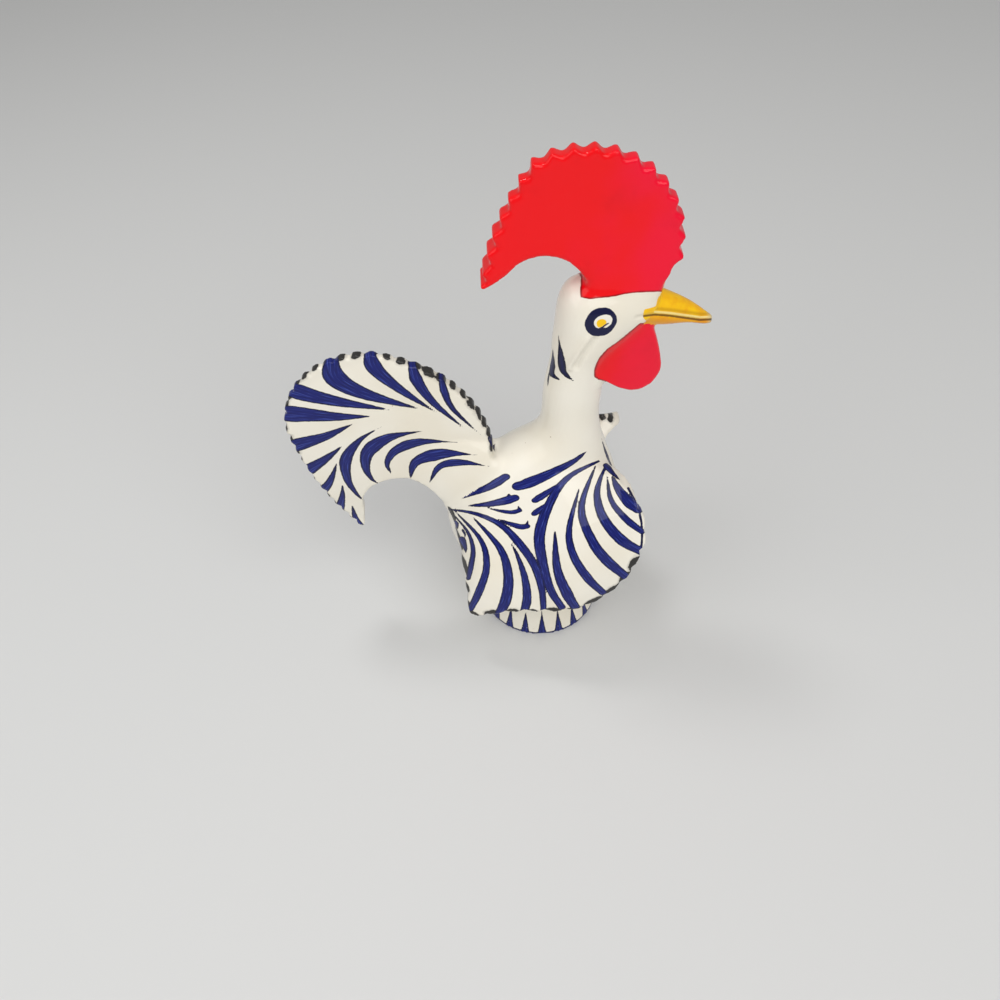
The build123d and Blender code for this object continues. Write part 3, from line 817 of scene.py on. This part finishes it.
# The wings.
# A bowed slab of clay on each flank, luted along its top and free below, with scallops round its edge and
# two fans of long blue feathers that start at the rim; the left wing is painted as the mirror of the right.
QUILLS = [
    (5, (2.5, -23), (1.5, -1.5), (-2.5, 20.5), (-10, 39), (-19, 54.5), (-31.5, 64.5), (-46, 69.5)),
    (6.2, (13, -19), (6.5, -2), (2, 23), (0.5, 46), (5.5, 69), (14.5, 87.5), (31, 99)),
]
WING_FEATHERS = [
    (3.4, (-39, 12), (-36.5, 25), (-35, 37), (-37, 51), (-43.5, 65.5)),
    (5, (-39.5, -16), (-34, -1), (-28.5, 21.5), (-30.5, 44), (-42.5, 67.5)),
    (6.8, (-24.5, -26), (-19, -9), (-17, 13), (-20.5, 36), (-33.5, 62)),
    (5.6, (-10, -26), (-7, -10), (-8, 11), (-12, 31.5), (-14.8, 40)),
    (6.8, (20.5, -19), (16, -7), (10, 16.5), (8.5, 48.5)),
    (5.6, (36, -7), (27, 7), (18.5, 28), (16, 49), (20.5, 80)),
    (6.6, (49, 5.5), (37, 21.5), (28, 39.5), (22, 65), (28, 95)),
    (6.8, (55.5, 27.5), (44, 38), (33.5, 56.5), (29.5, 76), (33, 95)),
    (4.4, (54.5, 44), (45.5, 54.5), (37, 69.5), (34, 88)),
    (7, (51.5, 61.5), (45.5, 68.5), (40, 78), (36.5, 87)),
]
SHOULDER_BARS = [
    (5.6, (-16, 90.5), (-24.5, 84), (-35.5, 79), (-47, 74.5)),
    (6.2, (-12, 75), (-16, 73.5), (-25, 71.5), (-36, 71)),
    (3.4, (-9.5, 65.5), (-13.5, 64.5), (-19.5, 66), (-26.5, 69)),
    (4.4, (-6, 53), (-9.5, 53), (-15, 56), (-21, 60)),
    (7.5, (-10, 83.5), (-5.5, 85), (6.5, 91.5), (18, 99.5), (23.5, 106)),
    (4.8, (-1.5, 72.5), (3, 76.5), (12, 85)),
    (4.2, (-2, 62.5), (1.5, 66.5), (6, 71)),
    (3.4, (33, 95), (36.5, 89.5), (40.5, 84)),
]
SHOULDER_HOOKS = [
    (1.8, (-15.5, 90), (-16, 93.5)),
    (2.2, (-14.5, 76), (-15, 79)),
    (1.8, (-9.5, 66), (-10.5, 69.5)),
    (1.8, (-6, 54), (-5.5, 58)),
]
RUMP_DABS = [
    (4.4, (-43.5, 59), (-42, 54)),
    (4, (-40.5, 46), (-39, 38), (-39, 34)),
    (1.5, (-39.5, 53), (-38.5, 48.5), (-39.5, 45.5)),
]
FEATHER = {"Belly": 0.2, "Blunt": 0.85, "Taper": 0.6}
QUILL = {"Belly": 0.55, "Blunt": 0.75, "Taper": 0.5}
BAR = {"Belly": 0.16, "Blunt": 0.85, "Taper": 0.65}
REAR_RIM = [(10, 44.5), (-13, 40), (-38.5, 30.5), (-40.2, 60), (-46, 82)]
WING_RIMS = {
    "right_wing": [(46, 74), (33.5, 53.3), *REAR_RIM],
    "left_wing": [(36, 94.5), (28, 61.3), *REAR_RIM],
}
WING_SCALLOP_PITCH = 10.5
WING_DAB_HALF = (4.6 * MM, 3.2 * MM)
LOBE_RIM = [(29, 113), (34.5, 112.3), (39.5, 110)]
LOBE_DABS = 2
LOBE_DAB_HALF = (2.9 * MM, 1.6 * MM)
LOBE_BACK = 31 * MM
LOBE_INNER = 0.5  # a surface that faces less to the bird's left than this is on the lobe's inner side
FRONT_RIM_LINE = [(1.4, (55, 28), (54.5, 44), (51.5, 61), (45, 78))]
EVEN = {"Belly": 0.5, "Blunt": 1.0, "Taper": 0.0}


def brush_wing_paint(piece):
    """All the strokes of the wings and shoulders on one piece."""
    brush(piece, QUILLS, QUILL, WHITE)
    brush(piece, WING_FEATHERS, FEATHER, WHITE)
    brush(piece, SHOULDER_BARS, BAR, WHITE)
    brush(piece, SHOULDER_HOOKS, BAR, WHITE)
    brush(piece, RUMP_DABS, BAR, WHITE)


def leave_bare(piece, bare):
    """Some points of a piece kept free of strokes."""
    seen = read_vectors(piece.data, "seen")
    seen[bare] = UNPAINTED
    piece.data.attributes["seen"].data.foreach_set("vector", seen.ravel())


def places_of(mesh):
    """The places of a mesh's points."""
    places = np.zeros(len(mesh.vertices) * 3)
    mesh.vertices.foreach_get("co", places)
    return places.reshape(-1, 3)


for seed, (name, rim) in enumerate(WING_RIMS.items()):
    wing = glazed_piece(name, THIN_WALL)
    if name == "left_wing":
        dab_rim(wing, LOBE_RIM, LOBE_DABS, LOBE_DAB_HALF, seed, WHITE)
        inner = read_vectors(wing.data, "outward")[:, 1] < LOBE_INNER
        leave_bare(wing, inner & (places_of(wing.data)[:, 0] > LOBE_BACK))
    brush_wing_paint(wing)
    brush(wing, FRONT_RIM_LINE, EVEN, WHITE, fade=0.0)
    rim_length = np.linalg.norm(np.diff(rim_path(rim), axis=0), axis=1).sum()
    dab_rim(wing, rim, round(rim_length / WING_SCALLOP_PITCH), WING_DAB_HALF, seed, WHITE)
    finish_piece(wing, name, WHITE)

# The body.
# A hollow thrown or pressed belly, which shows between the wings, the tail and the neck; the shoulder
# feathers run over onto its upper half, with thin lines down its breast.
HOLLOW_WALL = 4 * MM
BODY_PAINT_LOW = [(-46, 76), (0, 82), (28, 98), (29, 140)]
BREAST_LINES = [
    (1.3, (29, 117.5), (33.5, 101), (38.5, 86.5)),
    (1.1, (32.5, 104), (35.5, 95), (38.8, 86)),
]


def height_above(places, line):
    """How far each place lies above a line."""
    return places[:, 1] - np.interp(places[:, 0], *(np.array(line).T * MM))


body = glazed_piece("body", HOLLOW_WALL)
leave_bare(body, height_above(places_of(body.data)[:, [0, 2]], BODY_PAINT_LOW) < 0)
brush_wing_paint(body)
brush(body, BREAST_LINES, CRESCENT, WHITE, canvas="look", fade=0.0)
brush(body, TAIL_ROOT_LINES, LEAF, WHITE)
finish_piece(body, "body", WHITE)

# The foot.
# A hollow ring that flares to its standing edge, with a dark band along that edge and a ring of upright
# blue wedges, wide at the bottom and pointed on top.
FOOT_WEDGES = 21
FOOT_WEDGE_WIDTH = 5.0
FOOT_WEDGE_PHASE = 0.2
FOOT_WEDGE_TALL = 18.0
FOOT_BAND_WIDTH = 2.4
FOOT_BAND_HEIGHT = 0.2
WEDGE = {"Belly": 0.02, "Blunt": 1.0, "Taper": 1.2}

foot = glazed_piece("foot", HOLLOW_WALL)
foot_places = places_of(foot.data)
foot_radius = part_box("foot")[1].x
turn_round = np.arctan2(foot_places[:, 1], foot_places[:, 0]) * foot_radius
unrolled = np.stack([turn_round, 0 * turn_round, foot_places[:, 2]], axis=1)
unrolled[len(unrolled) // 2:] = UNPAINTED
keep_vectors(foot.data, "unrolled", unrolled)
foot_round = tau * foot_radius / MM
wedges = []
for step in range(FOOT_WEDGES):
    place = ((step + FOOT_WEDGE_PHASE) / FOOT_WEDGES - 0.5) * foot_round
    wedges.append((FOOT_WEDGE_WIDTH, (place, 0), (place, FOOT_WEDGE_TALL)))
brush(foot, wedges, WEDGE, WHITE, canvas="unrolled", fade=0.0)
bands = []
for side in (-1, 1):
    start = (side * foot_round / 2, FOOT_BAND_HEIGHT)
    bands.append((FOOT_BAND_WIDTH, start, (0, FOOT_BAND_HEIGHT)))
brush(foot, bands, EVEN, WHITE, canvas="unrolled", fade=0.0)
finish_piece(foot, "foot", WHITE)

# The head and the neck.
# A hollow egg of clay on a hollow tube: white, with feathers brushed down the neck, the red of the comb and
# the wattle and the yellow of the beak a little way over their joints, and an eye in a dark ring.
NECK_FEATHERS = [
    (3.6, (9.2, 175), (11, 158), (12.8, 153), (16.5, 149)),
    (3.6, (6.6, 172), (6.2, 156.5), (7.4, 152.5), (10.5, 150)),
    (0.9, (5, 159), (5, 153), (4.5, 146)),
]
PLUME = {"Belly": 0.6, "Blunt": 0.08, "Taper": 0.7}
# An oval is its centre and half sizes in millimetres, and its turn in degrees.
EYE_RING = ((27.0, 180.6), (7.5, 6.7), 75)
EYE_WHITE = ((28.0, 180.7), (4.0, 3.4), 35)
EYE_PUPIL = ((27.4, 179.8), (2.5, 2.2), 90)
EYE_MARK = [(26.4, 176.8), (30.2, 179.8)]
EYE_MARK_HALF = 0.4 * MM
COMB_SEAM = [(10, 186), (18, 193.5), (22, 192.5), (30.5, 193), (36.5, 194), (42.5, 194.5), (60, 194)]
COMB_REAR = 18 * MM
BEAK_SEAM = [  # height first
    (172, 48.5), (179, 47.5), (180, 46), (182.5, 44.5), (186, 45), (187, 49.5), (190.5, 50), (193.5, 50.5),
    (195, 48.5),
]
WATTLE_RED = [
    (43.5, 179), (47.5, 179), (50.5, 177), (54, 167), (55, 161.5), (54.5, 154), (51, 145.5), (46.5, 142),
    (42, 142), (36.5, 144), (30, 148.5), (25.5, 150.5), (25, 154), (26.5, 160.5), (30.5, 166.5), (37, 172),
]
RED = srgb(236, 3, 14)
CRIMSON = srgb(236, 4, 46)
DEEP_RED = srgb(120, 0, 10)
YELLOW = srgb(247, 196, 18)
ORANGE = srgb(226, 134, 18)
MOUTH_BROWN = srgb(84, 56, 20)
EYE_NAVY = srgb(14, 17, 58)
NECK_BLUE = srgb(9, 12, 66)
BEHIND_MOUTH = 10 * MM
NAPE_CLEAR = 2.6 * MM
NAPE_BLEND = 2 * MM
ZONE_WANDER = (300, 0.9 * MM)
ZONE_EDGE = (-0.14 * MM, 0.14 * MM)
CRIMSON_DRIFT = (40, 60 * MM)
CRIMSON_RANGE = (18 * MM, 52 * MM)
RED_POOLED_EDGE = (0.3 * MM, 1.1 * MM, 0.8, 0.0)
RED_CLOUDS = (60, 4)
RED_CLOUD_RANGE = (0.5, 0.8, 0.0, 0.12)
ORANGE_CLOUDS = (110, 3)
ORANGE_RANGE = (0.45, 0.75, 0.0, 0.6)
MOUTH_EDGE = (0.3 * MM, 0.8 * MM, 0.85, 0.0)


def depth_inside(places, outline):
    """How deep each place lies inside a closed outline, below nothing where it is outside."""
    nearest = distance_from(places, [*outline, outline[0]])
    corners = np.array(outline) * MM
    inside = np.zeros(len(places), bool)
    for start, end in zip(corners, np.roll(corners, -1, axis=0)):
        crosses = (start[1] > places[:, 1]) != (end[1] > places[:, 1])
        run, rise = end - start
        share = (places[:, 1] - start[1]) / (rise or 1)
        inside ^= crosses & (places[:, 0] < start[0] + share * run)
    return np.where(inside, nearest, -nearest)


def depth_in_oval(places, oval):
    """How deep each place lies inside a turned oval, below nothing where it is outside."""
    centre, halves, turn = oval
    gap = (places - np.array(centre) * MM) @ np.array(Matrix.Rotation(radians(turn), 2))
    halves = np.array(halves) * MM
    return (1 - np.linalg.norm(gap / halves, axis=1)) * halves[1]


def above_mouth(look):
    """How far each place lies above the mouth, and a long way behind its corner."""
    return np.where(look[:, 0] < MOUTH_LINE[0][0] * MM, BEHIND_MOUTH, height_above(look, MOUTH_LINE))


def above_comb_seam(look):
    """How far each place lies above the seam between the comb and the head."""
    return height_above(look, COMB_SEAM)


def keep_zones(piece):
    """How deep each point lies in the red, the yellow and the eye, and how far from the mouth."""
    mesh = piece.data
    look = read_vectors(mesh, "look")[:, [0, 2]].astype(float)
    beak_line = np.interp(look[:, 1], *(np.array(BEAK_SEAM).T * MM))
    comb_red = np.minimum(above_comb_seam(look), look[:, 0] - COMB_REAR)
    mark = distance_from(look, EYE_MARK) - EYE_MARK_HALF
    zones = {
        "red": np.maximum(comb_red, depth_inside(look, WATTLE_RED)),
        "yellow": look[:, 0] - beak_line,
        "eye_ring": depth_in_oval(look, EYE_RING),
        "eye_white": np.minimum(depth_in_oval(look, EYE_WHITE), mark),
        "eye_pupil": np.minimum(depth_in_oval(look, EYE_PUPIL), mark),
        "mouth": above_mouth(look),
    }
    for name, depth in zones.items():
        keep_numbers(mesh, name, depth)


def zone(tree, name, place):
    """The share of a colour zone that a piece keeps under a name, with a hand-brushed edge."""
    return ranged(tree, wandering(tree, kept_number(tree, name), place, ZONE_WANDER), *ZONE_EDGE)


def red_paint(tree, place):
    """Red glaze that is deeper along its edge and where it runs together."""
    forward = node(tree, "ShaderNodeSeparateXYZ", {0: place}).outputs[0]
    cool = ranged(tree, wandering(tree, forward, place, CRIMSON_DRIFT), *CRIMSON_RANGE)
    red = mixed(tree, RED, CRIMSON, cool)
    red = mixed(tree, red, DEEP_RED, ranged(tree, kept_number(tree, "red"), *RED_POOLED_EDGE))
    return mixed(tree, red, DEEP_RED, ranged(tree, noise(tree, place, *RED_CLOUDS), *RED_CLOUD_RANGE))


def yellow_paint(tree, place):
    """Yellow glaze with orange drifts."""
    return mixed(tree, YELLOW, ORANGE, ranged(tree, noise(tree, place, *ORANGE_CLOUDS), *ORANGE_RANGE))


def mouthed(tree, under):
    """A brown line between the lips over a colour."""
    away = maths(tree, "ABSOLUTE", kept_number(tree, "mouth"))
    return mixed(tree, under, MOUTH_BROWN, ranged(tree, away, *MOUTH_EDGE))


def head_glaze(name):
    """White glaze with the red and yellow that run over onto it, and the eye."""
    material, tree, shader = new_material(name)
    place = clay_place(tree)
    colour, relief = brushed(tree, place, white_ground(tree, place), NECK_BLUE, COBALT)
    colour = mixed(tree, colour, red_paint(tree, place), zone(tree, "red", place))
    beak_share = zone(tree, "yellow", place)
    colour = mixed(tree, colour, mouthed(tree, yellow_paint(tree, place)), beak_share)
    colour = mixed(tree, colour, EYE_NAVY, zone(tree, "eye_ring", place))
    colour = mixed(tree, colour, CREAM, zone(tree, "eye_white", place))
    colour = mixed(tree, colour, YELLOW, zone(tree, "eye_pupil", place))
    gloss(tree, shader, place, colour, relief)
    return material


def part_at_nape(piece):
    """Strokes kept apart along the middle of the back of the neck."""
    mesh = piece.data
    fade = np.zeros(len(mesh.vertices), np.float32)
    mesh.attributes["fade"].data.foreach_get("value", fade)
    beside = np.abs(places_of(mesh)[:, 1])
    fade += FADE_DEPTH * np.clip((NAPE_CLEAR - beside) / NAPE_BLEND, 0, 1)
    mesh.attributes["fade"].data.foreach_set("value", fade)


HEAD_GLAZE = head_glaze("head_glaze")
for name in ["neck", "head"]:
    piece = glazed_piece(name, HOLLOW_WALL)
    part_at_nape(piece)
    brush(piece, NECK_FEATHERS, PLUME, HEAD_GLAZE)
    keep_zones(piece)
    finish_piece(piece, name, HEAD_GLAZE)

# The comb and the wattle.
# A saw-edged slab of clay on the crown and a drop pressed on under the beak, both dipped in red.
WATTLE_EDGE = 0.4 * MM
WATTLE_THROAT = 31 * MM


def red_glaze(name):
    """Red glaze that stops at the seam above the white of the head."""
    material, tree, shader = new_material(name)
    place = clay_place(tree)
    colour = mixed(tree, white_ground(tree, place), red_paint(tree, place), zone(tree, "red", place))
    gloss(tree, shader, place, colour)
    return material


RED_GLAZE = red_glaze("red_glaze")
for name in ["comb", "wattle"]:
    piece = glazed_piece(name, THIN_WALL)
    look = read_vectors(piece.data, "look")[:, [0, 2]].astype(float)
    if name == "comb":
        red = np.maximum(above_comb_seam(look), COMB_REAR - look[:, 0])
    else:
        red = np.maximum(height_above(look, WATTLE_UNDERSIDE) + WATTLE_EDGE, look[:, 0] - WATTLE_THROAT)
    keep_numbers(piece.data, "red", red)
    finish_piece(piece, name, RED_GLAZE)

# The beak.
# A blunt cone of clay in two halves with the mouth between them, luted to the head and brushed yellow.
TIP_RANGE = (70.5 * MM, 73.5 * MM, 0.0, 0.8)
# A pale band just above the mouth is a painted highlight, and the olive band above that is painted shade.
PAINTED_HIGHLIGHT_BAND = (0.8 * MM, 1.9 * MM, 0.3 * MM)
PAINTED_HIGHLIGHT_STRENGTH = 0.75
PAINTED_SHADE_BAND = (2.2 * MM, 3.8 * MM, 0.8 * MM)
PAINTED_SHADE_STRENGTH = 0.6
BEAK_HALVES = [("upper_beak", 0.0, 1.0), ("lower_beak", 0.55, 0.0)]  # shares of orange and of the painted shade and highlight above the mouth
TIP_TAN = srgb(206, 184, 136)
PAINTED_HIGHLIGHT_PALE = srgb(255, 238, 160)
PAINTED_SHADE_OLIVE = srgb(186, 136, 20)


def banded(tree, value, low, high, soft):
    """The share of a value that lies between two levels."""
    up = ranged(tree, value, low - soft, low + soft)
    down = ranged(tree, value, high - soft, high + soft, 1.0, 0.0)
    return maths(tree, "MULTIPLY", up, down)


def yellow_glaze(name, orange_share, painted_light_share):
    """Yellow glaze, browner at the tip and along the mouth, with a band of painted shade above the mouth and
    a pale painted highlight along the upper lip.
    """
    material, tree, shader = new_material(name)
    place = clay_place(tree)
    colour = mixed(tree, yellow_paint(tree, place), ORANGE, orange_share)
    above = kept_number(tree, "mouth")
    # On the upper half, painted shade and a painted highlight lie in bands above the mouth.
    painted_shade = maths(tree, "MULTIPLY", banded(tree, above, *PAINTED_SHADE_BAND), PAINTED_SHADE_STRENGTH * painted_light_share)
    painted_highlight = maths(tree, "MULTIPLY", banded(tree, above, *PAINTED_HIGHLIGHT_BAND), PAINTED_HIGHLIGHT_STRENGTH * painted_light_share)
    colour = mixed(tree, mixed(tree, colour, PAINTED_SHADE_OLIVE, painted_shade), PAINTED_HIGHLIGHT_PALE, painted_highlight)
    forward = node(tree, "ShaderNodeSeparateXYZ", {0: place}).outputs[0]
    colour = mixed(tree, colour, TIP_TAN, ranged(tree, forward, *TIP_RANGE))
    gloss(tree, shader, place, mouthed(tree, colour))
    return material


for name, orange_share, painted_light_share in BEAK_HALVES:
    piece = glazed_piece(name, THIN_WALL)
    keep_numbers(piece.data, "mouth", above_mouth(read_vectors(piece.data, "look")[:, [0, 2]]))
    finish_piece(piece, name, yellow_glaze(name + "_glaze", orange_share, painted_light_share))
